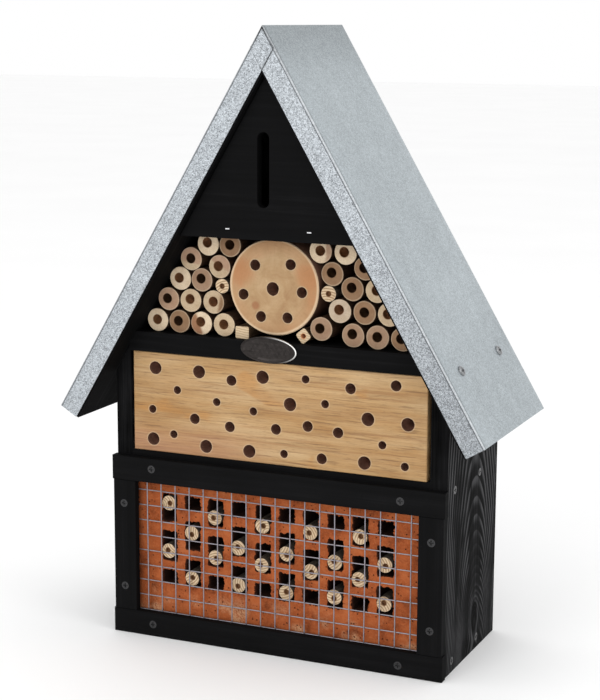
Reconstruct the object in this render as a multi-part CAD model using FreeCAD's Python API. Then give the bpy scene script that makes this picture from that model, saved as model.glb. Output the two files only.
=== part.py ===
import FreeCAD, Part
import math
import os

# Insect hotel: a house-shaped case of black boards under a sheet-metal roof, with a wired brick at the
# bottom, a drilled block above it, a nest of bored tubes round a drilled log, and a slotted gable on top.
# Frame: millimetres, +X right, +Y to the back, +Z up, origin under the middle of the roof, on the ground.

V = FreeCAD.Vector

# ---- Driving dimensions: roof --------------------------------------------------------------------------
RIDGE_H = 494.0            # ground to the top of the ridge
ROOF_W = 358.0             # eave to eave, outside
ROOF_DEPTH = 153.5         # front edge to rear edge
PITCH = math.radians(59.4)
SHEET_T = 0.6              # galvanised steel
FLANGE_W = 16.7            # how far the front flange of the sheet turns down
ROOF_T = 17.5              # roof board thickness
FRONT_OVERHANG = 27.0      # roof front to wall front
REAR_OVERHANG = 4.0        # back panel to roof rear

# ---- Driving dimensions: case --------------------------------------------------------------------------
BODY_W = 284.0
WALL_T = 14.0
BACK_T = 4.0
HEAVY_T = 18.0             # floor board and lower shelf
SHELF_T = 16.0             # middle and upper shelf
LOWER_SHELF_Z = 137.0
MIDDLE_SHELF_Z = 236.5
UPPER_SHELF_Z = 334.7
GABLE_Z = 333.5            # lower edge of the gable panel
MIDDLE_SHELF_LIP = 3.5     # the middle shelf stands this far in front of the walls
GABLE_RECESS = 7.5         # roof front to gable panel
GABLE_T = 8.0
GABLE_GAP = 0.8            # play between gable panel and roof boards
SLOT_X = -2.2              # butterfly slot in the gable panel
SLOT_W = 10.0
SLOT_Z0 = 358.0
SLOT_Z1 = 415.0

# ---- Driving dimensions: front frame and wire mesh -----------------------------------------------------
FRAME_T = 8.0
MEMBER_W = 20.0
FRAME_H = 149.5
RAIL_OVERLENGTH = 1.0      # rails stand past the stiles at each end
FRAME_ROUNDING = 0.8
REBATE_W = 6.0
REBATE_D = 2.0
WIRE_D = 1.0
WIRE_PITCH = 12.7
WIRES_X = 21
WIRES_Z = 10
LOWEST_WIRE_Z = 19.7
WIRE_END_BELOW, WIRE_END_ABOVE = 5.0, 1.0       # upright wires past the level ones

# ---- Driving dimensions: fillings ----------------------------------------------------------------------
BRICK_W, BRICK_D, BRICK_H = 250.0, 65.0, 118.0
BRICK_X = -2.5
BRICK_RECESS = 3.5         # wall front to brick face
COLUMNS = 10
COLUMN_PITCH = 20.9
BRICK_HOLE_W = 13.0
PATTERN_Z = 62.9           # middle of the hole pattern above the brick's base
# offset of the hole's middle from the pattern's middle, and its height, for an odd column
COLUMN_HOLES = ((26.6, 22.4), (-5.4, 24.2), (-31.9, 11.4))
STICK_D = 12.4
STICK_L = 64.0
STICK_PROUD = 2.5          # stick ends stand in front of the brick face
STICK_BORE = 4.0
STICK_BORE_DEPTH = 30.0
STICK_WANDER = 0.25        # sticks lie this far off the middle of their column
PITH_WANDER = 1.0          # pith off the middle of its stick
# rise of the upper and the lower stick above the middle of their holes, column by column
STICK_RISE = ((4.3, -4.1), (2.6, -3.4), (-3.2, -4.6), (-4.4, -3.6), (-4.9, -5.3),
              (-4.1, -4.2), (-4.9, -5.0), (-5.5, -1.6), (-3.2, -5.7), (-1.9, -1.5))

BLOCK_W, BLOCK_D, BLOCK_H = 251.0, 110.0, 81.0
BLOCK_PROUD = 1.5          # block face in front of the walls
BORE_DEPTH = 70.0
# drilled by hand: (x, height above the lower shelf) of each hole, for the three drill sizes
BLOCK_HOLES = {
    10.0: ((-105.5, 68.5), (-66.5, 68.5), (-11, 69), (12.5, 49.5), (77.5, 44), (110, 43),
           (-108, 10), (-60.5, 8.5), (-22.5, 8.5), (75, 9.5)),
    8.0: ((-38, 64), (63, 66.5), (100, 72), (-70.5, 30), (-39.5, 26.5), (0.5, 28.5),
          (27.5, 33.5), (53, 31), (39.5, 9)),
    6.0: ((25.5, 70.5), (-86, 52), (-51, 45.5), (42, 52.5), (-108.5, 34.5), (-19, 41),
          (-89.5, 15.5), (7.5, 9.5), (89.5, 25), (108, 10)),
}

TUBE_D = 18.6
TUBE_BORE = 7.5
TUBE_L = 110.0
TUBE_BORE_DEPTH = 85.0
TUBE_RECESS = 2.0          # wall front to tube ends
BORE_OFFSET = (-0.7, 0.6)  # tube bores from the tube's middle, left and up
BORE_WANDER = 0.5          # and each one this much further off, in its own direction
BORE_TURN = math.radians(240.0)
BORE_START = math.radians(-34.0)
GOLDEN_ANGLE = math.radians(137.5)      # between the wanderings of one brick stick and the next
# tubes are stacked by hand: (height above the middle shelf, x of each tube in the layer)
LEFT_LAYERS = ((9.5, (-105, -85.5, -66, -46.5)), (27, (-95, -75.5, -55.5)),
               (44, (-84.5, -65.5)), (60.2, (-74.9,)), (55.3, (-50.2,)), (72.7, (-60, -40.9)))
RIGHT_LAYERS = ((12.5, (36.5,)), (9.5, (63, 83, 103)), (27.5, (52, 72, 92)),
                (45, (62, 82)), (61.5, (72.5,)), (55.5, (45.5,)), (72.4, (35.5, 56)))
SMALL_STICKS = ((-48, 40.2, 11.6), (42.5, 40.2, 12.4))      # x, height above the shelf, diameter
PITH_D = 4.0

LOG_X = -3.0
LOG_D = 76.4
LOG_L = 105.0
LOG_PLAY = 1.3             # under the upper shelf
LOG_CENTRE_BORE = 10.0
LOG_CENTRE = (-1.0, -1.7)  # the middle bore, from the log's own middle
LOG_BORE = 8.0
LOG_BORES = ((-16, 16), (14, 18), (-26, -7.5), (23.5, -3), (-11, -24), (11.5, -23.5))
WEDGE_L = 60.0
SPLIT_WEDGE_X, SPLIT_WEDGE_W, SPLIT_WEDGE_H = -30.3, 11.4, 9.6
SPLIT_WEDGE_ROUNDING = 1.2
SQUARE_WEDGE_X, SQUARE_WEDGE_Z = 22.0, 6.0      # middle, and its height above the middle shelf
SQUARE_WEDGE_W, SQUARE_WEDGE_ROUNDING = 9.5, 2.0
SQUARE_WEDGE_TURN = 40.0                        # degrees

PLAQUE_W, PLAQUE_H, PLAQUE_T = 48.0, 21.0, 1.6
PLAQUE_X = -4.7
PLAQUE_Z = 246.4
PLAQUE_TILT = 2.0          # degrees, right end low
PLAQUE_RIM = 1.4
PLAQUE_DISH = 0.6

# ---- Driving dimensions: fixings -----------------------------------------------------------------------
SCREW_D, SCREW_L = 3.2, 30.0
SCREW_HEAD_D, SCREW_HEAD_H = 6.4, 2.2
SCREW_TIP_R = 0.2
RECESS_DEPTH = 1.3
RAIL_SCREWS = ((-107.0, 10.0), (107.0, 8.5), (-107.0, 141.0), (107.0, 139.5))    # x, z
STILE_SCREW_X, STILE_SCREW_Z = 132.5, (40.0, 110.0)
WALL_SCREW_Z = (9.0, 146.0)
WALL_SCREW_BACK = (18.0, 78.0)                  # behind the walls' front edges
ROOF_SCREW_D, ROOF_SCREW_L = 3.8, 24.0
ROOF_SCREW_HEAD_D, ROOF_SCREW_HEAD_H = 8.0, 1.8
ROOF_SCREW_Z = 241.5
ROOF_SCREW_BACK = (3.5, 94.0)
NAIL_D = 2.2
RIDGE_NAIL_X, RIDGE_NAIL_Z, RIDGE_NAIL_L = 11.0, 472.0, 20.0
RIDGE_NAIL_Y = (-50.0, 0.0, 50.0)
SHELF_NAIL_L = 30.0
SHELF_NAIL_Y = (-30.0, 40.0)
PIN_D, PIN_L = 1.4, 18.0
PIN_HEAD_D, PIN_HEAD_H = 3.0, 0.6
WALL_PIN_X, WALL_PIN_Z = 135.0, (25.0, 80.0, 120.0, 190.0)
SHELF_PIN_X = 70.0
STAPLE_WIRE = 0.8
MESH_STAPLE_W, MESH_STAPLE_LEG = 5.0, 5.0
MESH_STAPLE_Z = (16.5, 131.5)
MESH_STAPLE_WIRES = (-6, -2, 2, 6)              # counted from the middle wire
GABLE_STAPLE_W = 3.3
GABLE_STAPLE_BITE = 10.0                        # into the upper shelf
GABLE_STAPLES = ((-32.0, 341.0), (36.0, 341.5))

# ---- Driving dimensions: hangers -----------------------------------------------------------------------
HANGER_SPACING = 60.0
HANGER_W, HANGER_H, HANGER_T = 22.0, 40.0, 1.5
HANGER_CORNER = 3.0
HANGER_Z = 336.0
KEYHOLE_Z = 358.0
KEYHOLE_D = 9.0
KEYHOLE_SLOT = 4.5
KEYHOLE_RISE = 8.0
HEAD_ROOM_W = 15.0                              # cut-out in the back panel for a wall screw's head
HEAD_ROOM_BELOW, HEAD_ROOM_ABOVE = 7.0, 14.0    # from the middle of the keyhole's round hole
HANGER_SCREW_D, HANGER_SCREW_L = 2.8, 18.0
HANGER_SCREW_HEAD_D, HANGER_SCREW_HEAD_H = 5.2, 1.2
HANGER_SCREW_X = 6.5                            # from the plate's middle line

CUT = 1.0                  # cutting shapes run this far past the faces they open

# ---- Worked-out places ---------------------------------------------------------------------------------
ROOF_FRONT = -ROOF_DEPTH / 2
ROOF_REAR = ROOF_DEPTH / 2
BOARD_FRONT = ROOF_FRONT + 2 * SHEET_T      # the two sheet flanges overlap in front of the boards
WALL_FRONT = ROOF_FRONT + FRONT_OVERHANG
BACK_REAR = ROOF_REAR - REAR_OVERHANG
BACK_FRONT = BACK_REAR - BACK_T
FRAME_FRONT = WALL_FRONT - FRAME_T
INNER_X = BODY_W / 2 - WALL_T
LOWER_FLOOR = LOWER_SHELF_Z + HEAVY_T       # top of the lower shelf
NEST_FLOOR = MIDDLE_SHELF_Z + SHELF_T       # top of the middle shelf
GABLE_FRONT = ROOF_FRONT + GABLE_RECESS
GABLE_REAR = GABLE_FRONT + GABLE_T
BRICK_FRONT = WALL_FRONT + BRICK_RECESS
BLOCK_FRONT = WALL_FRONT - BLOCK_PROUD
TUBE_FRONT = WALL_FRONT + TUBE_RECESS
UNDERSIDE = SHEET_T + ROOF_T                # depth of the roof boards' lower face
OUT_X, OUT_Z = math.sin(PITCH), math.cos(PITCH)


def roof_z(x, depth):
    """Height at distance x from the middle of a plane that lies depth below the roof's outer face."""
    return RIDGE_H - abs(x) * math.tan(PITCH) - depth / math.cos(PITCH)


def roof_x(z, depth):
    """Half-width at height z of the plane that lies depth below the roof's outer face."""
    return (roof_z(0, depth) - z) / math.tan(PITCH)


def eave(depth, side=1):
    """Corner of the eave, cut square to the slope, at a depth below the outer face."""
    x = ROOF_W / 2
    return (side * (x - OUT_X * depth), roof_z(x, 0) - OUT_Z * depth)


def prism(points, y0, y1):
    """Outline of (x, z) points in the XZ plane, drawn out from y0 to y1."""
    corners = [V(x, y0, z) for x, z in points]
    outline = Part.makePolygon(corners + corners[:1])
    return Part.Face(outline).extrude(V(0, y1 - y0, 0))


def block(x0, x1, y0, y1, z0, z1):
    return Part.makeBox(x1 - x0, y1 - y0, z1 - z0, V(x0, y0, z0))


def rod(x, z, diameter, y0, y1):
    """Round bar or bore along Y."""
    return Part.makeCylinder(diameter / 2, y1 - y0, V(x, y0, z), V(0, 1, 0))


def stadium(x, z0, z1, width, y0, y1):
    """Upright slot with round ends, drawn out from y0 to y1."""
    r = width / 2
    middle = block(x - r, x + r, y0, y1, z0 + r, z1 - r)
    ends = [rod(x, z, width, y0, y1) for z in (z0 + r, z1 - r)]
    return middle.fuse(ends).removeSplitter()


def place(shape, point, direction):
    """Stand a shape that was built on +Z at a point, with its +Z along a direction."""
    shape.Placement = FreeCAD.Placement(point, FreeCAD.Rotation(V(0, 0, 1), direction))
    return shape


def screw_blank(point, out, diameter, length, head_d, head_h, raised):
    """Screw without its recess: out points away from the wood, and a raised head stands on the surface."""
    tip = 1.5 * diameter
    shank = Part.makeCylinder(diameter / 2, length - tip, V(0, 0, tip - length))
    point_cone = Part.makeCone(SCREW_TIP_R, diameter / 2, tip, V(0, 0, -length))
    if raised:
        head = Part.makeCylinder(head_d / 2, head_h)
        head = head.makeFillet(0.6 * head_h, [head.Edges[0]])
    else:
        head = Part.makeCone(diameter / 2, head_d / 2, head_h, V(0, 0, -head_h))
    solid = shank.fuse([point_cone, head]).removeSplitter()
    return place(solid, point, out)


def cross_recess(point, out, head_d, top):
    """Cross-shaped drive cut into a screw head whose top stands at a height above the surface."""
    arm, width, floor = 0.6 * head_d, 0.16 * head_d, top - RECESS_DEPTH
    bars = [Part.makeBox(arm, width, RECESS_DEPTH, V(-arm / 2, -width / 2, floor)),
            Part.makeBox(width, arm, RECESS_DEPTH, V(-width / 2, -arm / 2, floor))]
    return place(bars[0].fuse(bars[1]), point, out)


def wood_screw(point, out):
    """Countersunk case screw, as its blank and as the finished screw."""
    blank = screw_blank(point, out, SCREW_D, SCREW_L, SCREW_HEAD_D, SCREW_HEAD_H, False)
    return blank, blank.cut(cross_recess(point, out, SCREW_HEAD_D, 0.0))


def nail(point, out, diameter, length, head_d=0.0, head_h=0.0):
    """Straight nail driven in against out, with an optional flat head."""
    solid = Part.makeCylinder(diameter / 2, length, V(0, 0, -length))
    if head_d:
        solid = solid.fuse(Part.makeCylinder(head_d / 2, head_h)).removeSplitter()
    return place(solid, point, out)


def staple(x, z, crown_y, width, leg_y):
    """Square-wire staple: its crown starts at crown_y and goes back, its two legs run to leg_y."""
    r = STAPLE_WIRE / 2
    y0, y1 = min(crown_y, leg_y), max(crown_y, leg_y)
    crown = block(x - width / 2, x + width / 2, crown_y, crown_y + STAPLE_WIRE, z - r, z + r)
    legs = [block(leg_x - r, leg_x + r, y0, y1, z - r, z + r)
            for leg_x in (x + r - width / 2, x - r + width / 2)]
    return crown.fuse(legs).removeSplitter()


def mirrored(shape):
    return shape.mirror(V(0, 0, 0), V(1, 0, 0))


# ---- Case ----------------------------------------------------------------------------------------------
def wall():
    """Right side wall, its top cut to the slope of the roof."""
    outer = BODY_W / 2
    points = ((INNER_X, 0), (outer, 0), (outer, roof_z(outer, UNDERSIDE)),
              (INNER_X, roof_z(INNER_X, UNDERSIDE)))
    return prism(points, WALL_FRONT, BACK_FRONT)


def middle_shelf():
    """Shelf between the walls, its upper corners cut to the slope of the roof."""
    z1 = MIDDLE_SHELF_Z + SHELF_T
    corner_z, top_x = roof_z(INNER_X, UNDERSIDE), roof_x(z1, UNDERSIDE)
    points = ((-INNER_X, MIDDLE_SHELF_Z), (INNER_X, MIDDLE_SHELF_Z), (INNER_X, corner_z),
              (top_x, z1), (-top_x, z1), (-INNER_X, corner_z))
    return prism(points, WALL_FRONT - MIDDLE_SHELF_LIP, BACK_FRONT)


def upper_shelf():
    """Shelf that runs from roof board to roof board."""
    z1 = UPPER_SHELF_Z + SHELF_T
    low, high = roof_x(UPPER_SHELF_Z, UNDERSIDE), roof_x(z1, UNDERSIDE)
    return prism(((-low, UPPER_SHELF_Z), (low, UPPER_SHELF_Z), (high, z1), (-high, z1)),
                 GABLE_REAR, BACK_FRONT)


def gable_panel():
    depth = UNDERSIDE + GABLE_GAP
    half = roof_x(GABLE_Z, depth)
    panel = prism(((-half, GABLE_Z), (half, GABLE_Z), (0, roof_z(0, depth))), GABLE_FRONT, GABLE_REAR)
    return panel.cut(stadium(SLOT_X, SLOT_Z0, SLOT_Z1, SLOT_W, GABLE_FRONT - CUT, GABLE_REAR + CUT))


def back_panel():
    outer = BODY_W / 2
    points = ((-outer, 0), (outer, 0), (outer, roof_z(outer, UNDERSIDE)),
              (0, roof_z(0, UNDERSIDE)), (-outer, roof_z(outer, UNDERSIDE)))
    panel = prism(points, BACK_FRONT, BACK_REAR)
    for x in (-HANGER_SPACING / 2, HANGER_SPACING / 2):
        panel = panel.cut(stadium(x, KEYHOLE_Z - HEAD_ROOM_BELOW, KEYHOLE_Z + HEAD_ROOM_ABOVE, HEAD_ROOM_W,
                                  BACK_FRONT - CUT, BACK_REAR + CUT))
    return panel


def roof_board():
    """Right roof board, mitred at the ridge and cut square at the eave."""
    points = ((0, roof_z(0, SHEET_T)), eave(SHEET_T), eave(UNDERSIDE), (0, roof_z(0, UNDERSIDE)))
    return prism(points, BOARD_FRONT, ROOF_REAR)


def roof_sheet():
    """One folded sheet over both boards, its two front flanges lapped in a diamond under the ridge."""
    lap_x = FLANGE_W / math.cos(PITCH) / (2 * math.tan(PITCH))
    lap_z = roof_z(lap_x, 0)
    skins = []
    for side, front in ((-1, ROOF_FRONT), (1, ROOF_FRONT + SHEET_T)):
        slope = ((0, RIDGE_H), eave(0, side), eave(SHEET_T, side), (0, roof_z(0, SHEET_T)))
        flange = (eave(0, side), (0, RIDGE_H), (-side * lap_x, lap_z), eave(FLANGE_W, side))
        skins.append(prism(slope, front, ROOF_REAR))
        skins.append(prism(flange, front, front + SHEET_T))
    return skins[0].fuse(skins[1:]).removeSplitter()


# ---- Front frame and mesh ------------------------------------------------------------------------------
def frame_member(x0, x1, z0, z1):
    """Frame member with its front edges rounded and the mesh rebate cut in its back."""
    bar = block(x0, x1, FRAME_FRONT, WALL_FRONT, z0, z1)
    front_edges = [e for e in bar.Edges if abs(e.BoundBox.YMax - FRAME_FRONT) < 1e-6]
    bar = bar.makeFillet(FRAME_ROUNDING, front_edges)
    rebate_x = BODY_W / 2 - MEMBER_W + REBATE_W
    low, high = MEMBER_W - REBATE_W, FRAME_H - MEMBER_W + REBATE_W
    return bar.cut(block(-rebate_x, rebate_x, WALL_FRONT - REBATE_D, WALL_FRONT + CUT, low, high))


def mesh_wires():
    """Welded mesh: upright wires in front, level wires touching them behind."""
    half_x = (WIRES_X - 1) / 2 * WIRE_PITCH
    top_z = LOWEST_WIRE_Z + (WIRES_Z - 1) * WIRE_PITCH
    front_y = WALL_FRONT - 1.5 * WIRE_D
    length = top_z - LOWEST_WIRE_Z + WIRE_END_BELOW + WIRE_END_ABOVE
    upright = [Part.makeCylinder(WIRE_D / 2, length,
                                 V(-half_x + i * WIRE_PITCH, front_y, LOWEST_WIRE_Z - WIRE_END_BELOW))
               for i in range(WIRES_X)]
    level = [Part.makeCylinder(WIRE_D / 2, 2 * half_x + WIRE_D,
                               V(-half_x - WIRE_D / 2, front_y + WIRE_D, LOWEST_WIRE_Z + j * WIRE_PITCH),
                               V(1, 0, 0))
             for j in range(WIRES_Z)]
    return upright, level


def mesh_staples():
    """Small staples over the upright wires, driven forward into the rebates of the two rails."""
    crown_y = WALL_FRONT - WIRE_D
    return [staple(wire * WIRE_PITCH, z, crown_y, MESH_STAPLE_W, crown_y - MESH_STAPLE_LEG)
            for z in MESH_STAPLE_Z for wire in MESH_STAPLE_WIRES]


# ---- Fillings ------------------------------------------------------------------------------------------
def column_x(column):
    return BRICK_X + (column - (COLUMNS - 1) / 2) * COLUMN_PITCH


def column_holes(column):
    """(middle height, height) of the three holes of a brick column: every second column is turned over."""
    turn = 1 if column % 2 == 0 else -1
    base = HEAVY_T + PATTERN_Z
    return sorted(((base + turn * offset, height) for offset, height in COLUMN_HOLES), reverse=True)


def brick():
    body = block(BRICK_X - BRICK_W / 2, BRICK_X + BRICK_W / 2, BRICK_FRONT, BRICK_FRONT + BRICK_D,
                 HEAVY_T, HEAVY_T + BRICK_H)
    r = BRICK_HOLE_W / 2
    holes = []
    for column in range(COLUMNS):
        x = column_x(column)
        for z, height in column_holes(column):
            holes.append(block(x - r, x + r, BRICK_FRONT - CUT, BRICK_FRONT + BRICK_D + CUT,
                               z - height / 2, z + height / 2))
    return body.cut(holes)


def bored_rod(x, z, diameter, y0, length, bore_x, bore_z, bore, depth):
    return rod(x, z, diameter, y0, y0 + length).cut(rod(bore_x, bore_z, bore, y0 - CUT, y0 + depth))


def brick_sticks():
    """Two sticks in the long holes of each column, their soft pith bored out."""
    sticks = []
    for column in range(COLUMNS):
        long_holes = [z for z, height in column_holes(column) if height > BRICK_HOLE_W]
        for row, z_hole in enumerate(long_holes):
            turn = GOLDEN_ANGLE * (2 * column + row)
            x = column_x(column) + STICK_WANDER * math.cos(turn)
            z = z_hole + STICK_RISE[column][row]
            sticks.append(bored_rod(x, z, STICK_D, BRICK_FRONT - STICK_PROUD, STICK_L,
                                    x + PITH_WANDER * math.cos(turn), z + PITH_WANDER * math.sin(turn),
                                    STICK_BORE, STICK_BORE_DEPTH))
    return sticks


def drilled_block():
    body = block(-BLOCK_W / 2, BLOCK_W / 2, BLOCK_FRONT, BLOCK_FRONT + BLOCK_D,
                 LOWER_FLOOR, LOWER_FLOOR + BLOCK_H)
    drills = [rod(x, LOWER_FLOOR + z, d, BLOCK_FRONT - CUT, BLOCK_FRONT + BORE_DEPTH)
              for d, places in BLOCK_HOLES.items() for x, z in places]
    return body.cut(drills)


def tubes(layers, first):
    """Bored tubes laid up in layers on the middle shelf."""
    stack = []
    for height, row in layers:
        for x in row:
            turn = BORE_START + BORE_TURN * (first + len(stack))
            z = NEST_FLOOR + height
            bore_x = x + BORE_OFFSET[0] + BORE_WANDER * math.cos(turn)
            bore_z = z + BORE_OFFSET[1] + BORE_WANDER * math.sin(turn)
            stack.append(bored_rod(x, z, TUBE_D, TUBE_FRONT, TUBE_L, bore_x, bore_z, TUBE_BORE, TUBE_BORE_DEPTH))
    return stack


def small_sticks():
    return [bored_rod(x, NEST_FLOOR + z, d, TUBE_FRONT, TUBE_L, x, NEST_FLOOR + z, PITH_D, STICK_BORE_DEPTH)
            for x, z, d in SMALL_STICKS]


def drilled_log():
    z = UPPER_SHELF_Z - LOG_D / 2 - LOG_PLAY
    log = rod(LOG_X, z, LOG_D, TUBE_FRONT, TUBE_FRONT + LOG_L)
    bores = [(dx, dz, LOG_BORE) for dx, dz in LOG_BORES] + [(*LOG_CENTRE, LOG_CENTRE_BORE)]
    return log.cut([rod(LOG_X + dx, z + dz, d, TUBE_FRONT - CUT, TUBE_FRONT + BORE_DEPTH)
                    for dx, dz, d in bores])


def rounded_bar(x, z, width, height, rounding, turn):
    """Rectangular stick along Y with rounded long edges, turned by some degrees about its middle line."""
    bar = block(-width / 2, width / 2, 0, WEDGE_L, -height / 2, height / 2)
    bar = bar.makeFillet(rounding, [e for e in bar.Edges if e.BoundBox.YLength > CUT])
    bar.rotate(V(0, 0, 0), V(0, -1, 0), turn)
    bar.translate(V(x, TUBE_FRONT, z))
    return bar


def log_wedges():
    """Two offcuts that keep the log from rolling: a split one on the left, a square stick on the right."""
    split = rounded_bar(SPLIT_WEDGE_X, NEST_FLOOR + SPLIT_WEDGE_H / 2, SPLIT_WEDGE_W, SPLIT_WEDGE_H,
                        SPLIT_WEDGE_ROUNDING, 0)
    z = NEST_FLOOR + SQUARE_WEDGE_Z
    square = rounded_bar(SQUARE_WEDGE_X, z, SQUARE_WEDGE_W, SQUARE_WEDGE_W, SQUARE_WEDGE_ROUNDING,
                         SQUARE_WEDGE_TURN)
    pith = rod(SQUARE_WEDGE_X, z, PITH_D, TUBE_FRONT - CUT, TUBE_FRONT + STICK_BORE_DEPTH)
    return [split, square.cut(pith)]


# ---- Plaque and hangers --------------------------------------------------------------------------------
def oval(width, height, y0, y1):
    """Elliptical disc about the Y axis."""
    curve = Part.Ellipse(V(0, y0, 0), width / 2, height / 2).toShape()
    curve.rotate(V(0, y0, 0), V(1, 0, 0), 90)
    return Part.Face(Part.Wire(curve)).extrude(V(0, y1 - y0, 0))


def plaque():
    """Oval plate with a raised rim, fixed to the front edge of the middle shelf."""
    back = WALL_FRONT - MIDDLE_SHELF_LIP
    front = back - PLAQUE_T
    plate = oval(PLAQUE_W, PLAQUE_H, front, back)
    dish = oval(PLAQUE_W - 2 * PLAQUE_RIM, PLAQUE_H - 2 * PLAQUE_RIM, front - CUT, front + PLAQUE_DISH)
    plate = plate.cut(dish)
    plate.rotate(V(0, 0, 0), V(0, 1, 0), PLAQUE_TILT)
    plate.translate(V(PLAQUE_X, 0, PLAQUE_Z))
    return plate


def hanger_plate():
    """Right plate with a keyhole: a wall screw's head enters the round hole, its shank rides up the slot."""
    x = HANGER_SPACING / 2
    y0, y1 = BACK_REAR, BACK_REAR + HANGER_T
    plate = block(x - HANGER_W / 2, x + HANGER_W / 2, y0, y1, HANGER_Z, HANGER_Z + HANGER_H)
    plate = plate.makeFillet(HANGER_CORNER, [e for e in plate.Edges if e.BoundBox.YLength > CUT])
    slot_top = KEYHOLE_Z + KEYHOLE_RISE + KEYHOLE_SLOT / 2
    return plate.cut([rod(x, KEYHOLE_Z, KEYHOLE_D, y0 - CUT, y1 + CUT),
                      stadium(x, KEYHOLE_Z, slot_top, KEYHOLE_SLOT, y0 - CUT, y1 + CUT)])


# ---- Build ---------------------------------------------------------------------------------------------
boards = {
    "right_wall": wall(),
    "left_wall": mirrored(wall()),
    "floor_board": block(-INNER_X, INNER_X, WALL_FRONT, BACK_FRONT, 0, HEAVY_T),
    "lower_shelf": block(-INNER_X, INNER_X, WALL_FRONT, BACK_FRONT, LOWER_SHELF_Z, LOWER_FLOOR),
    "middle_shelf": middle_shelf(),
    "upper_shelf": upper_shelf(),
    "gable_panel": gable_panel(),
    "back_panel": back_panel(),
    "right_roof_board": roof_board(),
    "left_roof_board": mirrored(roof_board()),
    "roof_sheet": roof_sheet(),
    "frame_top_rail": frame_member(-BODY_W / 2 - RAIL_OVERLENGTH, BODY_W / 2 + RAIL_OVERLENGTH,
                                   FRAME_H - MEMBER_W, FRAME_H),
    "frame_bottom_rail": frame_member(-BODY_W / 2 - RAIL_OVERLENGTH, BODY_W / 2 + RAIL_OVERLENGTH,
                                      0, MEMBER_W),
    "frame_right_stile": frame_member(BODY_W / 2 - MEMBER_W, BODY_W / 2, MEMBER_W, FRAME_H - MEMBER_W),
    "frame_left_stile": frame_member(-BODY_W / 2, MEMBER_W - BODY_W / 2, MEMBER_W, FRAME_H - MEMBER_W),
}

parts = {}


def drive(node, places, maker, hosts):
    """Make one fixing at each place, and clear its own space out of the boards that it passes through."""
    made = []
    for spot in places:
        blank, finished = maker(*spot)
        made.append(finished)
        for host in hosts:
            if boards[host].BoundBox.intersect(blank.BoundBox):
                boards[host] = boards[host].cut(blank)
    parts[node] = made


def roof_screw(x, y):
    side = 1 if x > 0 else -1
    point, out = V(x, y, ROOF_SCREW_Z), V(side * OUT_X, 0, OUT_Z)
    blank = screw_blank(point, out, ROOF_SCREW_D, ROOF_SCREW_L, ROOF_SCREW_HEAD_D, ROOF_SCREW_HEAD_H, True)
    return blank, blank.cut(cross_recess(point, out, ROOF_SCREW_HEAD_D, ROOF_SCREW_HEAD_H))


def plain(maker):
    """A fixing whose space in the wood is its own shape."""
    def make(*spot):
        solid = maker(*spot)
        return solid, solid
    return make


def gable_staple(x, z):
    return staple(x, z, GABLE_FRONT - STAPLE_WIRE, GABLE_STAPLE_W, GABLE_REAR + GABLE_STAPLE_BITE)


def back_pin(x, z):
    return nail(V(x, BACK_REAR, z), V(0, 1, 0), PIN_D, PIN_L, PIN_HEAD_D, PIN_HEAD_H)


def hanger_screw(x, z):
    return screw_blank(V(x, BACK_REAR + HANGER_T, z), V(0, 1, 0), HANGER_SCREW_D, HANGER_SCREW_L,
                       HANGER_SCREW_HEAD_D, HANGER_SCREW_HEAD_H, True)


def ridge_nail(y):
    """Lost-head nail through both mitred boards, under the sheet."""
    return nail(V(RIDGE_NAIL_X, y, RIDGE_NAIL_Z), V(1, 0, 0), NAIL_D, RIDGE_NAIL_L)


def shelf_nail(side, y):
    """Lost-head nail through a roof board into the end of the upper shelf, under the sheet."""
    z_mid = UPPER_SHELF_Z + SHELF_T / 2
    x_mid = roof_x(z_mid, UNDERSIDE)
    point = V(side * (x_mid + OUT_X * ROOF_T), y, z_mid + OUT_Z * ROOF_T)
    return nail(point, V(side * OUT_X, 0, OUT_Z), NAIL_D, SHELF_NAIL_L)


SIDES = (-1, 1)
FRONT = V(0, -1, 0)
rail_places = [(V(x, FRAME_FRONT, z), FRONT) for x, z in RAIL_SCREWS]
stile_places = [(V(side * STILE_SCREW_X, FRAME_FRONT, z), FRONT) for z in STILE_SCREW_Z for side in SIDES]
drive("frame_screws", rail_places + stile_places, wood_screw,
      ("frame_top_rail", "frame_bottom_rail", "frame_left_stile", "frame_right_stile",
       "lower_shelf", "floor_board", "left_wall", "right_wall"))

wall_places = [(V(side * BODY_W / 2, WALL_FRONT + back, z), V(side, 0, 0))
               for side in SIDES for back in WALL_SCREW_BACK for z in WALL_SCREW_Z]
drive("wall_screws", wall_places, wood_screw, ("left_wall", "right_wall", "lower_shelf", "floor_board"))

roof_screw_x = roof_x(ROOF_SCREW_Z, 0)
roof_places = [(side * roof_screw_x, WALL_FRONT + back) for side in SIDES for back in ROOF_SCREW_BACK]
drive("roof_screws", roof_places, roof_screw,
      ("roof_sheet", "left_roof_board", "right_roof_board", "left_wall", "right_wall"))

drive("gable_staples", GABLE_STAPLES, plain(gable_staple), ("gable_panel", "upper_shelf"))
drive("ridge_nails", [(y,) for y in RIDGE_NAIL_Y], plain(ridge_nail),
      ("left_roof_board", "right_roof_board"))
drive("shelf_nails", [(side, y) for side in SIDES for y in SHELF_NAIL_Y], plain(shelf_nail),
      ("left_roof_board", "right_roof_board", "upper_shelf"))

board_middles = (HEAVY_T / 2, LOWER_SHELF_Z + HEAVY_T / 2, MIDDLE_SHELF_Z + SHELF_T / 2)
pin_places = [(side * WALL_PIN_X, z) for side in SIDES for z in WALL_PIN_Z]
pin_places += [(x, z) for x in (-SHELF_PIN_X, 0, SHELF_PIN_X) for z in board_middles]
pin_places += [(0, UPPER_SHELF_Z + SHELF_T / 2)]
drive("back_pins", pin_places, plain(back_pin),
      ("back_panel", "left_wall", "right_wall", "floor_board", "lower_shelf", "middle_shelf", "upper_shelf"))

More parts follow.
